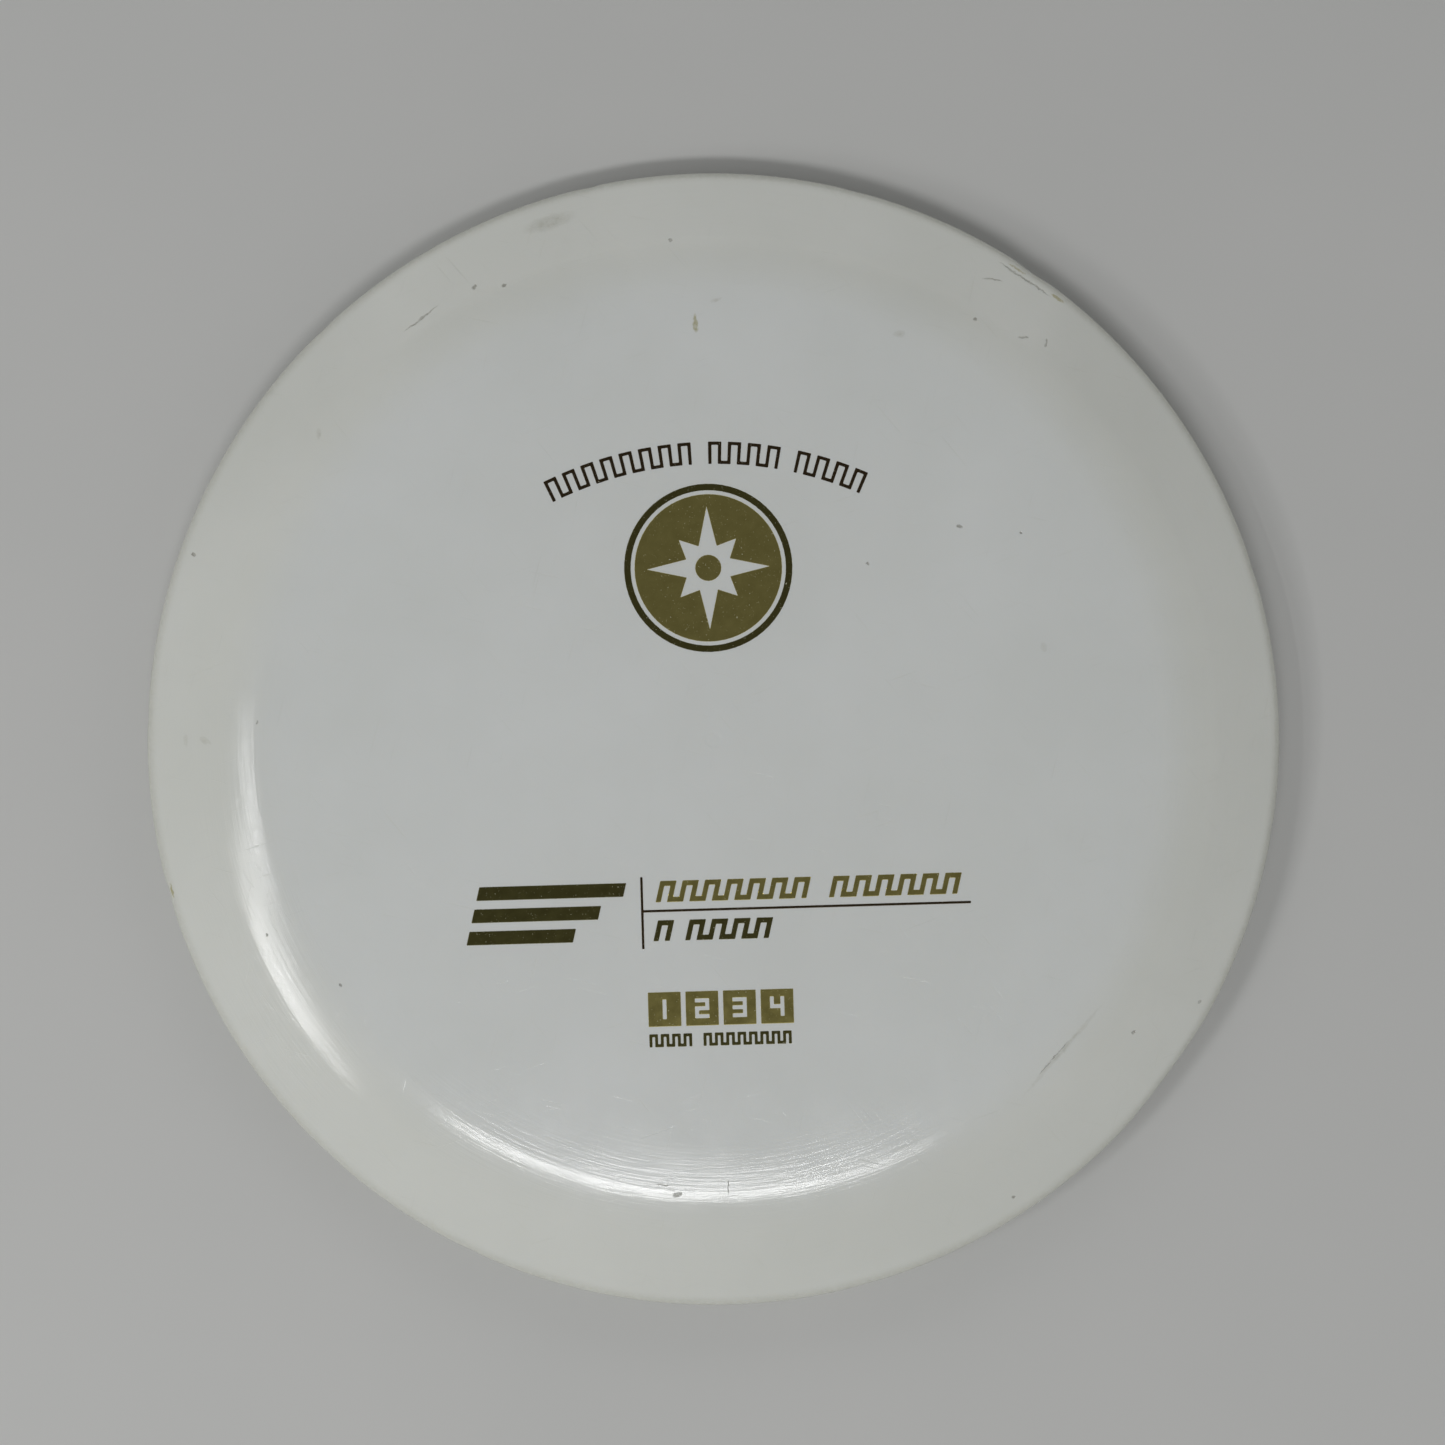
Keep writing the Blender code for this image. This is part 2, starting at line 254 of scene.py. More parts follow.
def outline(name):
    """The loops round a foil node's top, with their corners rounded."""
    shape = bmesh.new()
    shape.from_mesh(frame["nodes"][name].data)
    bmesh.ops.remove_doubles(shape, verts=shape.verts[:], dist=NODE_WELD)
    rim = {
        edge for edge in shape.edges
        if sum(face.normal.z > FACES_UP for face in edge.link_faces) == 1
    }
    bmesh.ops.delete(shape, geom=shape.faces[:], context="FACES_ONLY")
    rest = [edge for edge in shape.edges if edge not in rim]
    bmesh.ops.delete(shape, geom=rest, context="EDGES")
    straight = [point for point in shape.verts if point.calc_edge_angle(0.0) < STRAIGHT]
    bmesh.ops.dissolve_verts(shape, verts=straight)
    sharp = [point for point in shape.verts if point.calc_edge_angle(0.0) > SHARP]
    bmesh.ops.bevel(
        shape, geom=sharp, offset=DIE_CORNER, offset_type="ABSOLUTE", segments=2, profile=0.5,
        affect="VERTICES", material=-1, clamp_overlap=True,
    )
    return shape


def solid_island(name, lowest, highest):
    """A closed solid of the outline, from one height to the other."""
    shape = outline(name)
    bmesh.ops.triangle_fill(shape, use_beauty=True, use_dissolve=False, edges=shape.edges[:])
    level = shape.verts[:][0].co.z
    bmesh.ops.translate(shape, verts=shape.verts[:], vec=(0, 0, lowest - level))
    raised = bmesh.ops.extrude_face_region(shape, geom=shape.faces[:], use_keep_orig=True)
    top = [part for part in raised["geom"] if isinstance(part, bmesh.types.BMVert)]
    bmesh.ops.translate(shape, verts=top, vec=(0, 0, highest - lowest))
    bmesh.ops.recalc_face_normals(shape, faces=shape.faces[:])
    return shape


def pressed_foil(name):
    """The finished island: its tray floor has the first material, its pressed edge the second."""
    shape = solid_island(name, disc_height - UNDER_FOIL, disc_height + LIP)
    tray = [face for face in shape.faces if face.normal.z > FACES_UP]
    for thickness, depth in TRAY_STEPS:
        edge = bmesh.ops.inset_region(
            shape, faces=tray, thickness=thickness, depth=depth, use_even_offset=True,
            use_boundary=True,
        )
        for face in edge["faces"]:
            face.material_index = 1
    return add_object(f"foil_{name}", shape)


tray_depth = -sum(up for _, up in TRAY_STEPS)
print(f"each tray: {tray_depth / MM:.3f} mm deep, in a bed of {BED / MM:.3f} mm")

# %% Press every island
foil_names = [name for name in frame["nodes"] if name != "disc_body"]
foils = {name: pressed_foil(name) for name in foil_names}
print(f"foil: {len(foils)} islands, {sum(len(f.data.polygons) for f in foils.values())} faces")

# %% [markdown]
# ## The beds in the plate
#
# Each island needs a bed of its own outline in the disc. Insetting the plate's faces can't make
# one, because the outlines cross them freely, so a boolean cuts all the beds at once with one
# joined cutter. The modifier is applied at once and the cutter is removed. The edges sharper
# than 30 degrees are marked and the level faces shade flat, so that no bed's edge bends the
# gloss of the plate round it.

# %% Cut the beds
CUTTER_RISE = 1.0 * MM
DEAD_LEVEL = 0.99999
cutter_shape = bmesh.new()
for name in foil_names:
    shape = solid_island(name, disc_height - BED, disc_height + CUTTER_RISE)
    bed_mesh = bpy.data.meshes.new("bed")
    shape.to_mesh(bed_mesh)
    shape.free()
    cutter_shape.from_mesh(bed_mesh)
    bpy.data.meshes.remove(bed_mesh)
cutter = add_object("bed_cutter", cutter_shape)

cut = disc.modifiers.new("beds", "BOOLEAN")
cut.operation = "DIFFERENCE"
cut.solver = "EXACT"
cut.object = cutter
bpy.context.view_layer.update()
depsgraph = bpy.context.evaluated_depsgraph_get()
cut_mesh = bpy.data.meshes.new_from_object(disc.evaluated_get(depsgraph))
disc.modifiers.clear()
disc.data = cut_mesh
bpy.data.objects.remove(cutter, do_unlink=True)
disc.data.shade_smooth()
disc.data.set_sharp_from_angle(angle=SHARP)
for face in disc.data.polygons:
    if face.normal.z > DEAD_LEVEL:
        face.use_smooth = False
for foil in foils.values():
    foil.data.shade_flat()
disc.data.calc_loop_triangles()
print(f"disc with its beds: {len(disc.data.loop_triangles)} triangles")

# %% [markdown]
# ## Tools for the materials
#
# One function turns a hex colour into the linear numbers that a shader needs, and one adds a
# node with its settings and its links, so that a material reads as a list of what it is made of.
# A third starts a material, with nothing in it but its shader and its output.

# %% Helpers for colours, nodes and materials
def colour(hex_code):
    """An sRGB hex colour as linear red, green, blue and alpha."""
    channels = [int(hex_code[place:place + 2], 16) / 255 for place in (1, 3, 5)]
    linear = [c / 12.92 if c <= 0.04045 else ((c + 0.055) / 1.055) ** 2.4 for c in channels]
    return (*linear, 1.0)


def add(tree, kind, sockets=(), **settings):
    """Adds a node. sockets gives each input a plain value or the output that feeds it."""
    made = tree.nodes.new(kind)
    for name, value in settings.items():
        setattr(made, name, value)
    for socket, value in dict(sockets).items():
        if isinstance(value, bpy.types.NodeSocket):
            tree.links.new(value, made.inputs[socket])
        else:
            made.inputs[socket].default_value = value
    return made


def new_material(name):
    """A material with only its output and its shader: the tree and the shader come back too."""
    material = bpy.data.materials.new(name)
    material.use_nodes = True
    tree = material.node_tree
    return material, tree, tree.nodes["Principled BSDF"]


print("mid grey is", [round(channel, 3) for channel in colour("#808080")])

# %% [markdown]
# ## Moulded polyurethane
#
# The disc is thermoplastic polyurethane, injection moulded against a polished tool. It gives
# the eye a slightly milky white with a satin gloss: light goes a little way in, so its shadows
# are soft, and a lamp shows in it as a clear patch with a soft edge. The plate is cool white
# and the thicker rim warmer: more of the plastic's own tint shows in the rim, and the plate's
# coolness is partly painted shade, for the shadow under the thin plate that shows through it.
# Years of use have left smudges, scuffs, dots and a few deep scratches. The scratches that
# cover any used disc are about 0.05 mm wide, too fine to show, so they are drawn 0.2 to 0.3 mm
# wide.

# %% Coordinates for the disc's finish
plastic, tree, plastic_shader = new_material("moulded_polyurethane_white")
place = add(tree, "ShaderNodeTexCoord").outputs["Object"]
flat_place = add(
    tree, "ShaderNodeVectorMath", {0: place, 1: (1.0, 1.0, 0.0)}, operation="MULTIPLY"
).outputs["Vector"]
reach = add(tree, "ShaderNodeVectorMath", {0: flat_place}, operation="LENGTH").outputs["Value"]
facing = add(tree, "ShaderNodeNewGeometry").outputs["Normal"]
upwards = add(tree, "ShaderNodeSeparateXYZ", {"Vector": facing}).outputs["Z"]
top_side = add(
    tree, "ShaderNodeMapRange", {"Value": upwards, "From Min": -0.1, "From Max": 0.15}
).outputs["Result"]
print(f"{plastic.name}: {len(tree.nodes)} nodes so far")

# %% Cool plate, partly painted shade, and warm rim
# the plate's cooler white is partly painted shade, for the shadow under the thin plate showing
# through it
PLATE_WHITE_AND_PAINTED_SHADE = "#E6E9E7"
RIM_WHITE = "#E6E8E2"
rim_share = add(
    tree, "ShaderNodeMapRange",
    {"Value": reach, "From Min": 79.0 * MM, "From Max": 92.0 * MM},
    interpolation_type="SMOOTHSTEP",
).outputs["Result"]
base = add(
    tree, "ShaderNodeMix",
    {"Factor": rim_share, "A": colour(PLATE_WHITE_AND_PAINTED_SHADE), "B": colour(RIM_WHITE)}, data_type="RGBA",
).outputs["Result"]
print(f"plate {PLATE_WHITE_AND_PAINTED_SHADE}, rim {RIM_WHITE}")

# %% [markdown]
# ## Marks of use
#
# Every mark is one soft-edged patch on the disc: a spherical gradient, seen through a Mapping
# node of the Texture type, which puts it in place, turns it and stretches it. The patches of
# one kind are joined, fine noises bend their outlines and break their edges, and the kind has
# its own colour. The list gives each mark's direction in degrees from +X, its distance from the
# centre, how long and how wide it is in millimetres, and the turn of its length away from the
# rim's tangent.

# %% The marks, kind by kind
MARKS = {
    "smear": [(90.8, 76.3, 3.8, 1.10, 90), (50.4, 104.4, 3.4, 0.70, 0),
              (194.0, 105.0, 3.0, 0.60, 0), (55.5, 104.4, 4.2, 0.50, 0)],
    "smudge": [(106.0, 100.8, 11.0, 3.60, 0), (63.7, 81.8, 2.6, 1.40, 30),
               (178.5, 97.8, 2.4, 1.20, 10), (178.5, 93.8, 2.8, 1.10, 60),
               (88.0, 80.6, 2.6, 0.80, 20), (140.6, 91.9, 2.2, 1.00, 50),
               (13.9, 62.8, 2.2, 1.40, 0), (316.8, 85.9, 24.0, 0.90, 1)],
    "scuff": [(123.2, 94.6, 8.6, 0.34, 3), (54.2, 103.6, 12.5, 0.42, 0),
              (57.1, 99.9, 4.2, 0.34, 24), (315.2, 85.6, 9.0, 0.26, 2),
              (263.9, 83.7, 2.0, 0.90, 20), (261.9, 82.2, 2.6, 0.26, 4),
              (270.3, 82.1, 3.0, 0.20, 88), (50.7, 93.8, 2.4, 0.42, 40),
              (48.3, 95.8, 2.0, 0.40, 120)],
    "spot": [(116.2, 94.5, 1.0, 0.80, 0), (113.1, 92.1, 0.9, 0.70, 0), (93.3, 92.4, 0.8, 0.70, 0),
             (158.8, 102.8, 0.9, 0.80, 0), (176.2, 83.7, 0.7, 0.60, 0), (56.4, 91.2, 0.8, 0.70, 0),
             (39.3, 59.6, 1.2, 0.70, 30), (32.3, 67.9, 0.8, 0.60, 0), (46.9, 42.8, 0.8, 0.60, 0),
             (330.0, 103.0, 0.9, 0.70, 0), (323.5, 94.7, 0.8, 0.70, 0),
             (301.6, 101.9, 0.9, 0.70, 0), (202.0, 89.6, 0.8, 0.60, 0),
             (211.7, 81.9, 0.7, 0.60, 0)],
}
# name: (colour, how strongly it covers, how quickly its edge fades)
MARK_LOOKS = {
    "smear": ("#A7A067", 0.75, 2.6),
    "smudge": ("#9C9B86", 0.34, 1.4),
    "scuff": ("#8A8677", 0.55, 3.0),
    "spot": ("#7D796A", 0.66, 2.4),
}
# the pattern's points all have a Z of 0, so what they are divided by there makes no difference
FLAT_REACH = 1.0
WARP = 0.9 * MM
waves = add(
    tree, "ShaderNodeTexNoise",
    {"Vector": flat_place, "Scale": 1 / (1.1 * MM), "Detail": 2.0, "Roughness": 0.6},
).outputs["Color"]
centred = add(
    tree, "ShaderNodeVectorMath", {0: waves, 1: (0.5, 0.5, 0.5)}, operation="SUBTRACT"
).outputs["Vector"]
ragged_place = add(
    tree, "ShaderNodeVectorMath", {0: centred, 1: (WARP, WARP, 0.0), 2: flat_place},
    operation="MULTIPLY_ADD",
).outputs["Vector"]


def mark_patch(direction, distance, length, width, turn):
    """How much of one mark is at each point: 1 in its middle, falling to 0 at its edge."""
    angle = math.radians(direction)
    middle = (distance * MM * math.cos(angle), distance * MM * math.sin(angle), 0.0)
    turned = add(
        tree, "ShaderNodeMapping",
        {"Vector": ragged_place, "Location": middle,
         "Rotation": (0.0, 0.0, angle + math.radians(90.0 + turn)),
         "Scale": (length * MM / 2, width * MM / 2, FLAT_REACH)},
        vector_type="TEXTURE",
    ).outputs["Vector"]
    return add(
        tree, "ShaderNodeTexGradient", {"Vector": turned}, gradient_type="SPHERICAL"
    ).outputs["Fac"]


breaks = add(
    tree, "ShaderNodeTexNoise",
    {"Vector": place, "Scale": 1 / (0.9 * MM), "Detail": 4.0, "Roughness": 0.65},
).outputs["Fac"]
kinds = {}
for kind, marks in MARKS.items():
    joined = None
    for mark in marks:
        patch = mark_patch(*mark)
        if joined is not None:
            patch = add(
                tree, "ShaderNodeMath", {0: joined, 1: patch}, operation="MAXIMUM"
            ).outputs[0]
        joined = patch
    fade = MARK_LOOKS[kind][2]
    edge = add(
        tree, "ShaderNodeMath", {0: joined, 1: fade, 2: 0.0}, operation="MULTIPLY_ADD",
        use_clamp=True,
    ).outputs[0]
    broken = add(
        tree, "ShaderNodeMapRange",
        {"Value": breaks, "From Min": 0.32, "From Max": 0.58, "To Min": 0.35, "To Max": 1.0},
    ).outputs["Result"]
    cover = add(tree, "ShaderNodeMath", {0: edge, 1: broken}, operation="MULTIPLY").outputs[0]
    kinds[kind] = add(
        tree, "ShaderNodeMath", {0: cover, 1: top_side}, operation="MULTIPLY"
    ).outputs[0]
print("marks:", {kind: len(marks) for kind, marks in MARKS.items()})

# %% [markdown]
# ## Dirt, painted shade at the nose, and fine scratches
#
# Handling leaves two things that have no place of their own. Dirt lies over the whole disc in
# faint clouds. Hairline scratches run in a few directions: each is a noise, stretched far along
# one way, of which only the peaks are kept. The nose also darkens in a patchy ring, which is
# painted shade where the nose falls away from the light.

# %% Dirt, painted shade at the nose, and hairline scratches
CLOUD_TINT, CLOUD_COVER = "#B7BBAE", 0.10
NOSE_SHADE_TINT, NOSE_SHADE_COVER = "#A3A28D", 0.34
SCRATCH_TINT, SCRATCH_COVER = "#A5A797", 0.16

clouds = add(
    tree, "ShaderNodeTexNoise",
    {"Vector": place, "Scale": 1 / (34 * MM), "Detail": 3.0, "Roughness": 0.55},
).outputs["Fac"]
cloudy = add(
    tree, "ShaderNodeMapRange",
    {"Value": clouds, "From Min": 0.35, "From Max": 0.65, "To Max": CLOUD_COVER},
).outputs["Result"]
tinted = add(
    tree, "ShaderNodeMix", {"Factor": cloudy, "A": base, "B": colour(CLOUD_TINT)},
    data_type="RGBA",
).outputs["Result"]

# painted shade: a patchy darker ring at the nose, where the nose falls away from the light
nose_shade = add(
    tree, "ShaderNodeMapRange",
    {"Value": reach, "From Min": 103.6 * MM, "From Max": 105.9 * MM, "To Max": NOSE_SHADE_COVER},
    interpolation_type="SMOOTHSTEP",
).outputs["Result"]
patchy = add(
    tree, "ShaderNodeMapRange",
    {"Value": breaks, "From Min": 0.3, "From Max": 0.62, "To Min": 0.55, "To Max": 1.0},
).outputs["Result"]
nose_shade = add(tree, "ShaderNodeMath", {0: nose_shade, 1: patchy}, operation="MULTIPLY").outputs[0]
tinted = add(
    tree, "ShaderNodeMix", {"Factor": nose_shade, "A": tinted, "B": colour(NOSE_SHADE_TINT)},
    data_type="RGBA",
).outputs["Result"]

SCRATCH_LENGTH = 12 * MM
SCRATCH_WIDTH = 0.3 * MM
# (their direction in degrees, how far the noise is moved along, in millimetres)
SCRATCH_RUNS = [(18.0, 300.0), (74.0, 410.0), (128.0, 530.0), (165.0, 670.0)]
scratches = None
for turn, shift in SCRATCH_RUNS:
    combed = add(
        tree, "ShaderNodeMapping",
        {"Vector": flat_place, "Rotation": (0.0, 0.0, math.radians(turn)),
         "Location": (shift * MM, shift * MM, 0.0),
         "Scale": (SCRATCH_LENGTH, SCRATCH_WIDTH, FLAT_REACH)},
        vector_type="TEXTURE",
    ).outputs["Vector"]
    hair = add(
        tree, "ShaderNodeTexNoise",
        {"Vector": combed, "Scale": 1.0, "Detail": 1.0, "Roughness": 0.4},
    ).outputs["Fac"]
    line = add(
        tree, "ShaderNodeMapRange", {"Value": hair, "From Min": 0.735, "From Max": 0.80}
    ).outputs["Result"]
    if scratches is not None:
        line = add(
            tree, "ShaderNodeMath", {0: scratches, 1: line}, operation="MAXIMUM"
        ).outputs[0]
    scratches = line
scratch_share = add(
    tree, "ShaderNodeMath", {0: scratches, 1: SCRATCH_COVER}, operation="MULTIPLY"
).outputs[0]
tinted = add(
    tree, "ShaderNodeMix", {"Factor": scratch_share, "A": tinted, "B": colour(SCRATCH_TINT)},
    data_type="RGBA",
).outputs["Result"]
print(f"dirt {CLOUD_TINT} and {NOSE_SHADE_TINT}, scratches in {len(SCRATCH_RUNS)} directions")

# %% [markdown]
# ## Rub marks
#
# Hands, the bag and the target's chains rub the shoulder along its round. The grooves are
# hair-fine and are drawn 0.5 mm wide, so that they show as streaks in the gloss. An angle would
# jump where it comes full circle, so the noise reads the direction as a point on a circle, and
# the distance from the axis as its height above that circle: the streaks have no seam.

# %% Rub marks round the shoulder
RUB_LENGTH = 14 * MM
RUB_WIDTH = 0.5 * MM
RUB_REACH = 88 * MM
outwards = add(
    tree, "ShaderNodeVectorMath", {0: flat_place}, operation="NORMALIZE"
).outputs["Vector"]
round_place = add(
    tree, "ShaderNodeVectorMath", {0: outwards, 3: RUB_REACH / RUB_LENGTH}, operation="SCALE"
).outputs["Vector"]
rub_height = add(
    tree, "ShaderNodeMath", {0: reach, 1: 1 / RUB_WIDTH}, operation="MULTIPLY"
).outputs[0]
lift = add(tree, "ShaderNodeCombineXYZ", {"Z": rub_height}).outputs["Vector"]
rub_place = add(
    tree, "ShaderNodeVectorMath", {0: round_place, 1: lift}, operation="ADD"
).outputs["Vector"]
rubs = add(
    tree, "ShaderNodeTexNoise",
    {"Vector": rub_place, "Scale": 1.0, "Detail": 3.0, "Roughness": 0.6},
).outputs["Fac"]
rubbed_share = add(
    tree, "ShaderNodeMapRange",
    {"Value": reach, "From Min": 70 * MM, "From Max": 82 * MM},
    interpolation_type="SMOOTHSTEP",
).outputs["Result"]
rubs = add(tree, "ShaderNodeMath", {0: rubs, 1: rubbed_share}, operation="MULTIPLY").outputs[0]
print(f"rub marks: {RUB_LENGTH / MM:.0f} mm long and {RUB_WIDTH / MM:.1f} mm wide")

# %% [markdown]
# ## Colour, gloss and relief together
#
# The marks are laid over the tint kind by kind. The gloss is a little uneven, and scratches and
# smudges dull it. All that is cut or rubbed into the plastic adds up to one height in metres,
# which a single Bump node turns into relief.

# %% Lay the marks over the plastic
for kind, cover in kinds.items():
    mark_colour, strength, _ = MARK_LOOKS[kind]
    share = add(tree, "ShaderNodeMath", {0: cover, 1: strength}, operation="MULTIPLY").outputs[0]
    tinted = add(
        tree, "ShaderNodeMix", {"Factor": share, "A": tinted, "B": colour(mark_colour)},
        data_type="RGBA",
    ).outputs["Result"]
tree.links.new(tinted, plastic_shader.inputs["Base Color"])
print("laid over the plastic:", ", ".join(kinds))

# %% Gloss, relief and the milky depth of the plastic
GLOSSIEST, DULLEST = 0.11, 0.17
SCRATCH_DULLING = 0.25
SMUDGE_DULLING = 0.3
CUT_DEPTH = 0.10 * MM
SCRATCH_DEPTH = 0.012 * MM
RUB_DEPTH = 0.028 * MM
RIPPLE_HEIGHT = 0.02 * MM

ripple = add(
    tree, "ShaderNodeTexNoise",
    {"Vector": place, "Scale": 1 / (7 * MM), "Detail": 2.0, "Roughness": 0.5},
).outputs["Fac"]
gloss = add(
    tree, "ShaderNodeMapRange",
    {"Value": ripple, "From Min": 0.3, "From Max": 0.7, "To Min": GLOSSIEST, "To Max": DULLEST},
).outputs["Result"]
worn = add(
    tree, "ShaderNodeMath", {0: scratches, 1: SCRATCH_DULLING, 2: gloss}, operation="MULTIPLY_ADD"
).outputs[0]
worn = add(
    tree, "ShaderNodeMath", {0: kinds["smudge"], 1: SMUDGE_DULLING, 2: worn},
    operation="MULTIPLY_ADD", use_clamp=True,
).outputs[0]
tree.links.new(worn, plastic_shader.inputs["Roughness"])

cuts = add(
    tree, "ShaderNodeMath", {0: kinds["scuff"], 1: kinds["spot"]}, operation="MAXIMUM"
).outputs[0]
surface = 0.0
for pattern, rise in (
    (cuts, -CUT_DEPTH), (scratches, -SCRATCH_DEPTH), (rubs, -RUB_DEPTH), (ripple, RIPPLE_HEIGHT),
):
    surface = add(
        tree, "ShaderNodeMath", {0: pattern, 1: rise, 2: surface}, operation="MULTIPLY_ADD"
    ).outputs[0]
relief = add(
    tree, "ShaderNodeBump", {"Height": surface, "Strength": 1.0, "Distance": 1.0}
).outputs["Normal"]
tree.links.new(relief, plastic_shader.inputs["Normal"])

plastic_shader.inputs["IOR"].default_value = 1.53
plastic_shader.inputs["Subsurface Weight"].default_value = 0.12
plastic_shader.inputs["Subsurface Radius"].default_value = (1.0, 0.9, 0.75)
plastic_shader.inputs["Subsurface Scale"].default_value = 1.5 * MM
disc.data.materials.clear()
disc.data.materials.append(plastic)
print(f"plastic: {len(tree.nodes)} nodes")

# %% [markdown]
# ## Hot-stamped foil
#
# The foil is a film of aluminium under a tinted lacquer, so it is a metal to the eye: what it
# shows is the room, darkened and coloured. Three tints were pressed. The die's heat leaves each
# island a little mottled, with pinholes where the film did not take. Where the film bends down
# at an island's edge, its tint is darkened as painted shade, for the sloped edge's darker
# reflection. So each tint gives two materials from one recipe, one for the trays and a duller
# one, with the painted shade, for the pressed edges.

# %% The foil's recipe
BARE_PLASTIC = "#C9C8B2"
GRAIN_HEIGHT = 0.006 * MM
# where on the grain the film starts to lift, where it has lifted, and how far pinholes move both
LIFT_START, LIFT_END, LIFT_SHIFT = 0.70, 0.76, 0.08
# how much smoother and rougher than its own roughness a tint gets in its mottling
SMOOTHER, ROUGHER = 0.02, 0.03


def foil_material(name, tint, deep_tint, roughness, pinholes):
    """One tint of foil. pinholes is how much of the film has lifted, from 0 to 1."""
    material, tree, shader = new_material(name)
    place = add(tree, "ShaderNodeTexCoord").outputs["Object"]
    blotch = add(
        tree, "ShaderNodeTexNoise",
        {"Vector": place, "Scale": 1 / (2.4 * MM), "Detail": 4.0, "Roughness": 0.6},
    ).outputs["Fac"]
    shade = add(
        tree, "ShaderNodeMapRange", {"Value": blotch, "From Min": 0.3, "From Max": 0.72}
    ).outputs["Result"]
    film = add(
        tree, "ShaderNodeMix", {"Factor": shade, "A": colour(deep_tint), "B": colour(tint)},
        data_type="RGBA",
    ).outputs["Result"]
    grain = add(
        tree, "ShaderNodeTexNoise",
        {"Vector": place, "Scale": 1 / (0.35 * MM), "Detail": 3.0, "Roughness": 0.7},
    ).outputs["Fac"]
    lifted = add(
        tree, "ShaderNodeMapRange",
        {"Value": grain, "From Min": LIFT_START - LIFT_SHIFT * pinholes,
         "From Max": LIFT_END - LIFT_SHIFT * pinholes},
    ).outputs["Result"]
    bare = add(
        tree, "ShaderNodeMix", {"Factor": lifted, "A": film, "B": colour(BARE_PLASTIC)},
        data_type="RGBA",
    ).outputs["Result"]
    metal = add(tree, "ShaderNodeMath", {0: 1.0, 1: lifted}, operation="SUBTRACT").outputs[0]
    rough = add(
        tree, "ShaderNodeMapRange",
        {"Value": blotch, "From Min": 0.3, "From Max": 0.7,
         "To Min": roughness - SMOOTHER, "To Max": roughness + ROUGHER},
    ).outputs["Result"]
    height = add(
        tree, "ShaderNodeMath", {0: grain, 1: GRAIN_HEIGHT}, operation="MULTIPLY"
    ).outputs[0]
    relief = add(
        tree, "ShaderNodeBump", {"Height": height, "Strength": 1.0, "Distance": 1.0}
    ).outputs["Normal"]
    tree.links.new(bare, shader.inputs["Base Color"])
    tree.links.new(metal, shader.inputs["Metallic"])
    tree.links.new(rough, shader.inputs["Roughness"])
    tree.links.new(relief, shader.inputs["Normal"])
    return material


print(f"foil: grain {GRAIN_HEIGHT / MM:.3f} mm high")

# %% Finish every island
TRAY_ROUGHNESS, EDGE_ROUGHNESS = 0.14, 0.45
TRAY_PINHOLES, EDGE_PINHOLES = 0.5, 0.0
# slot: (tint, deep tint, tint of the pressed edge, darkened as painted shade)
FOIL_TINTS = {
    "gold_foil": ("#E2D584", "#D6C978", "#8A7340"),
    "dark_gold_foil": ("#8C8752", "#837D4A", "#54462C"),
    "brown_foil": ("#6E5C42", "#66553C", "#443625"),
}
foil_looks = {}
for slot_name, (tint, deep_tint, shaded_edge_tint) in FOIL_TINTS.items():
    foil_looks[slot_name] = (
        foil_material(
            f"hot_stamped_{slot_name}", tint, deep_tint, TRAY_ROUGHNESS, TRAY_PINHOLES
        ),
        # the pressed edge's darker tint is painted shade, for the sloped edge's darker reflection
        foil_material(
            f"painted_shade_edge_of_{slot_name}", shaded_edge_tint, shaded_edge_tint, EDGE_ROUGHNESS, EDGE_PINHOLES
        ),
    )
slots = {part["node"]: part["material_slot"] for part in frame["record"]["subparts"]}
for name, foil in foils.items():
    foil.data.materials.clear()
    for look in foil_looks[slots[name]]:
        foil.data.materials.append(look)
print(f"foil finishes: {len(foil_looks)} tints, {2 * len(foil_looks)} materials")

# %% [markdown]
# ## What each piece stands for
#
# Nothing on a disc moves against the rest of it, so every piece rides on the part's one body.
# Each takes the place of the CAD node that it was made from, whose own mesh is hidden, and each
# island's finish was chosen by that node's slot.

# %% Everything rides on the part's one body
finished = {"disc_body": disc, **foils}
for node_name, piece in finished.items():
    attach(piece, "root")
    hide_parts(node_name)
print(f"{len(finished)} pieces stand for {len(frame['nodes'])} nodes")

# %% [markdown]
# ## The stage
#
# The disc lies on a pale, matte floor and is seen from straight above, a little turned. The
# light is a plain studio's: a soft surround, paler at its walls than overhead, one long soft
# lamp in front and three at the left, whose patches show in the gloss of the shoulder, and two
# wide dim panels, behind and at the right, that fill their shadows. Each is given by the
# direction it shines from, the way that its long side runs and its size, and faces the disc's
# centre.

# %% Floor and surround
FLOOR_RADIUS = 0.9
FLOOR_GAP = 0.1 * MM
FLOOR_TINTS = ("#CFD0CE", "#D5D5D3")
WALL_LIGHT = 0.32
CEILING_LIGHT = 0.11

floor_shape = bmesh.new()
bmesh.ops.create_circle(floor_shape, cap_ends=True, segments=128, radius=FLOOR_RADIUS)
bmesh.ops.translate(floor_shape, verts=floor_shape.verts[:], vec=(0, 0, disc_low.z - FLOOR_GAP))
floor = add_object("floor", floor_shape)
floor_look, tree, floor_shader = new_material("pale_matte_floor")
place = add(tree, "ShaderNodeTexCoord").outputs["Object"]
tooth = add(
    tree, "ShaderNodeTexNoise", {"Vector": place, "Scale": 1 / (60 * MM), "Detail": 3.0}
).outputs["Fac"]
floor_white = add(
    tree, "ShaderNodeMix",
    {"Factor": tooth, "A": colour(FLOOR_TINTS[0]), "B": colour(FLOOR_TINTS[1])},
    data_type="RGBA",
).outputs["Result"]
tree.links.new(floor_white, floor_shader.inputs["Base Color"])
floor_shader.inputs["Roughness"].default_value = 0.85
floor_shader.inputs["Specular IOR Level"].default_value = 0.2
floor.data.materials.append(floor_look)

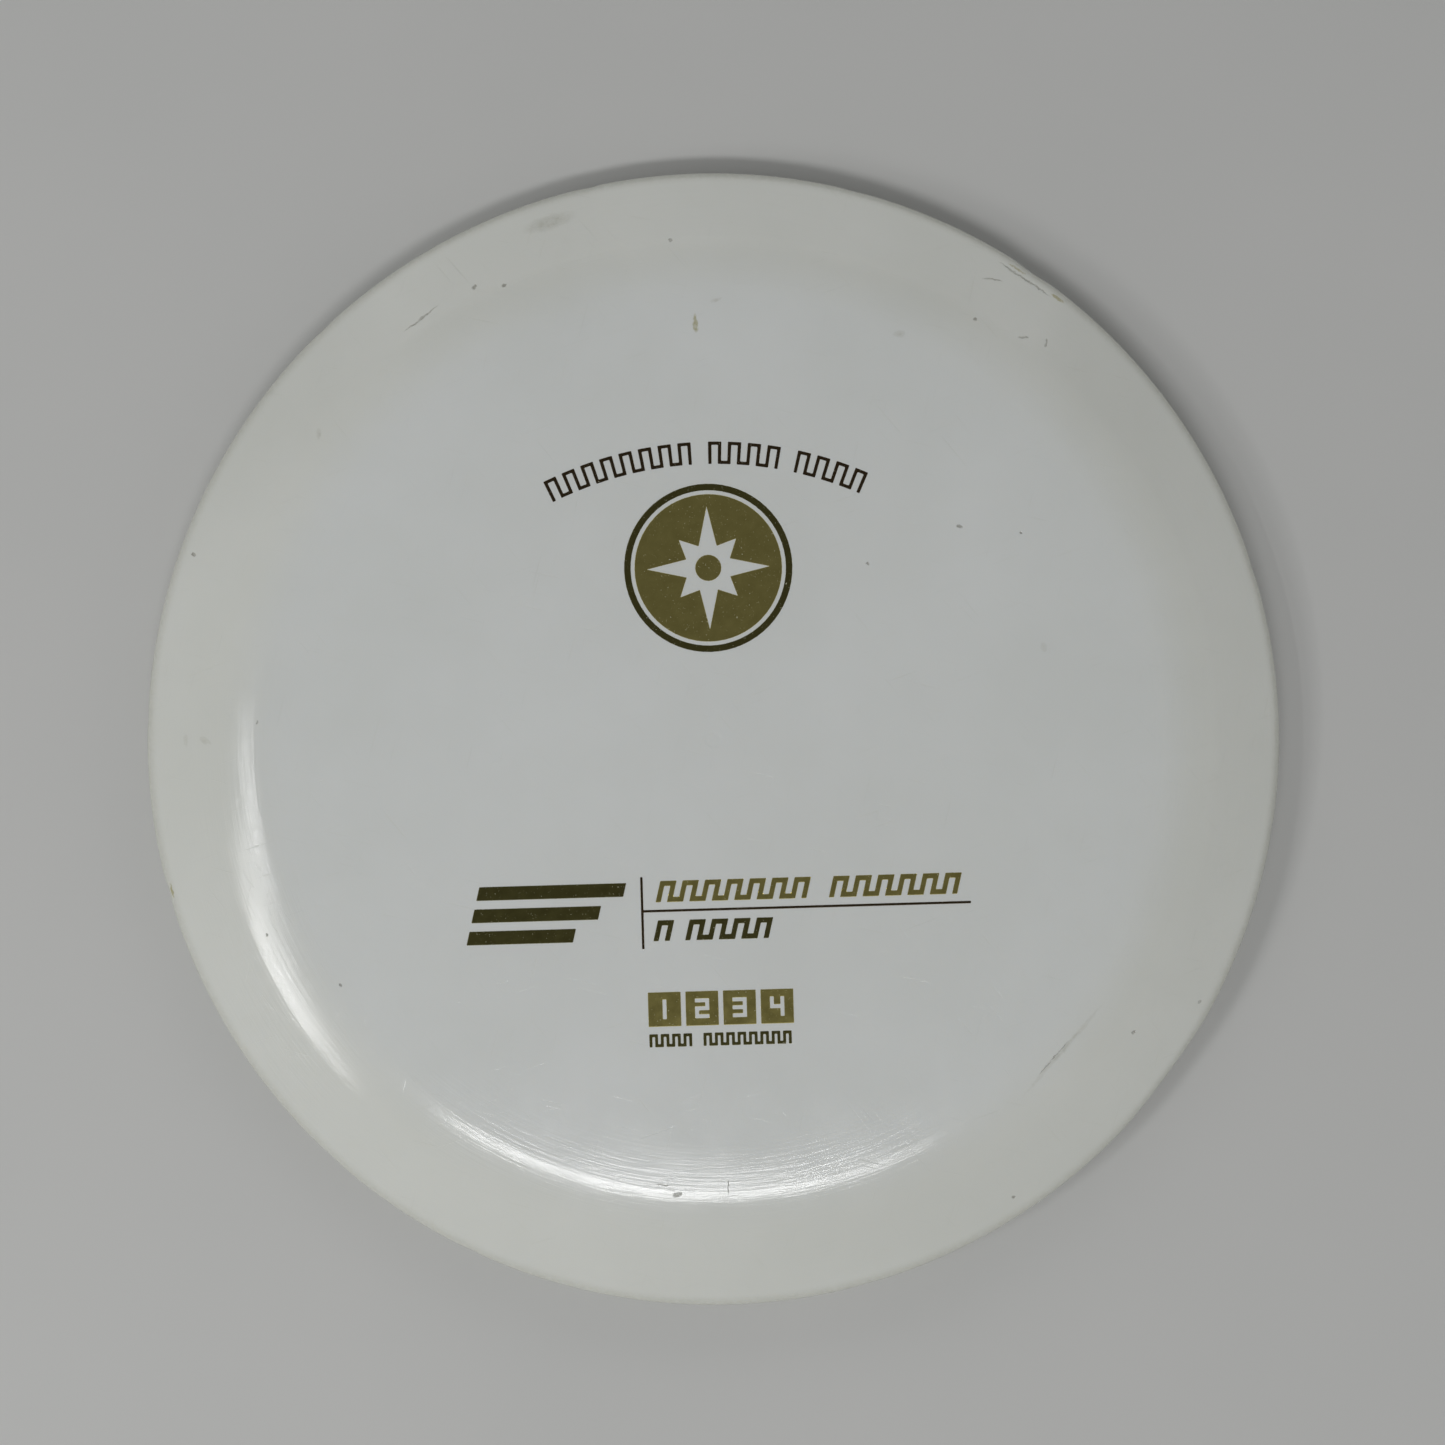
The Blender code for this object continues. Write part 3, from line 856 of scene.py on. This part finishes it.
surround = bpy.data.worlds.new("soft_grey_surround")
surround.use_nodes = True
tree = surround.node_tree
heading = add(tree, "ShaderNodeTexCoord").outputs["Generated"]
height = add(tree, "ShaderNodeSeparateXYZ", {"Vector": heading}).outputs["Z"]
glow = add(
    tree, "ShaderNodeMapRange",
    {"Value": height, "To Min": WALL_LIGHT, "To Max": CEILING_LIGHT},
).outputs["Result"]
tree.links.new(glow, tree.nodes["Background"].inputs["Strength"])
tree.nodes["Background"].inputs["Color"].default_value = colour("#FFFFFF")
bpy.context.scene.world = surround
print(f"floor: {2 * FLOOR_RADIUS:.1f} m across, surround {CEILING_LIGHT} to {WALL_LIGHT}")

# %% Soft lamps
VIEW_TURN = math.radians(1.65)
LAMP_DISTANCE = 1.1
# (name, shape, direction, tilt, along, length, width, power), in degrees, metres and watts
LAMPS = [
    ("lamp_front", "ELLIPSE", 263.0, 28.1, 4.0, 0.63, 0.13, 2.85),
    ("lamp_left", "ELLIPSE", 208.0, 47.0, 80.0, 0.54, 0.17, 1.3),
    ("lamp_left_inner", "ELLIPSE", 190.0, 36.0, 98.0, 0.28, 0.03, 0.55),
    ("lamp_left_outer", "ELLIPSE", 207.5, 51.5, 95.0, 0.34, 0.035, 0.5),
    ("panel_back", "RECTANGLE", 90.0, 62.0, 0.0, 1.50, 0.50, 1.3),
    ("panel_right", "RECTANGLE", 350.0, 62.0, 90.0, 1.20, 0.50, 0.40),
]


def soft_lamp(name, shape, direction, tilt, along, length, width, power):
    """A flat lamp that faces the disc. It is seen in one direction, tilted from straight up,
    and its long side runs along another, both counted from the camera's right."""
    light = bpy.data.lights.new(name, "AREA")
    light.shape = shape
    light.size = length
    light.size_y = width
    light.energy = power
    lamp = bpy.data.objects.new(name, light)
    bpy.context.scene.collection.objects.link(lamp)
    angle, lean, run = (math.radians(value) for value in (direction, tilt, along))
    angle -= VIEW_TURN
    run -= VIEW_TURN
    level = math.sin(lean)
    away = Vector((math.cos(angle) * level, math.sin(angle) * level, math.cos(lean)))
    side = Vector((math.cos(run), math.sin(run), 0.0))
    side = (side - side.dot(away) * away).normalized()
    lamp.location = away * LAMP_DISTANCE
    lamp.rotation_euler = Matrix((side, away.cross(side), away)).transposed().to_euler()


for settings in LAMPS:
    soft_lamp(*settings)
print(f"lamps: {len(LAMPS)}, {sum(settings[-1] for settings in LAMPS):.1f} W together")

# %% Camera
CAMERA_HEIGHT = 0.42
FIELD_WIDTH = 0.2708
SENSOR_WIDTH = 36.0
SHIFT_RIGHT = 1.7 * MM
SHIFT_AHEAD = 3.1 * MM
camera_data = bpy.data.cameras.new("camera")
camera = bpy.data.objects.new("camera", camera_data)
bpy.context.scene.collection.objects.link(camera)
right = Vector((math.cos(VIEW_TURN), -math.sin(VIEW_TURN), 0.0))
ahead = Vector((math.sin(VIEW_TURN), math.cos(VIEW_TURN), 0.0))
raised = Vector((0.0, 0.0, CAMERA_HEIGHT))
camera.location = SHIFT_RIGHT * right + SHIFT_AHEAD * ahead + raised
camera.rotation_euler = (0.0, 0.0, -VIEW_TURN)
camera_data.sensor_width = SENSOR_WIDTH
camera_data.lens = SENSOR_WIDTH * (CAMERA_HEIGHT - nose_middle.y * MM) / FIELD_WIDTH
camera_data.clip_start = 0.01
bpy.context.scene.camera = camera
bpy.context.scene.view_settings.view_transform = "Standard"
print(f"camera: {camera_data.lens:.1f} mm lens, {CAMERA_HEIGHT * 100:.0f} cm up")
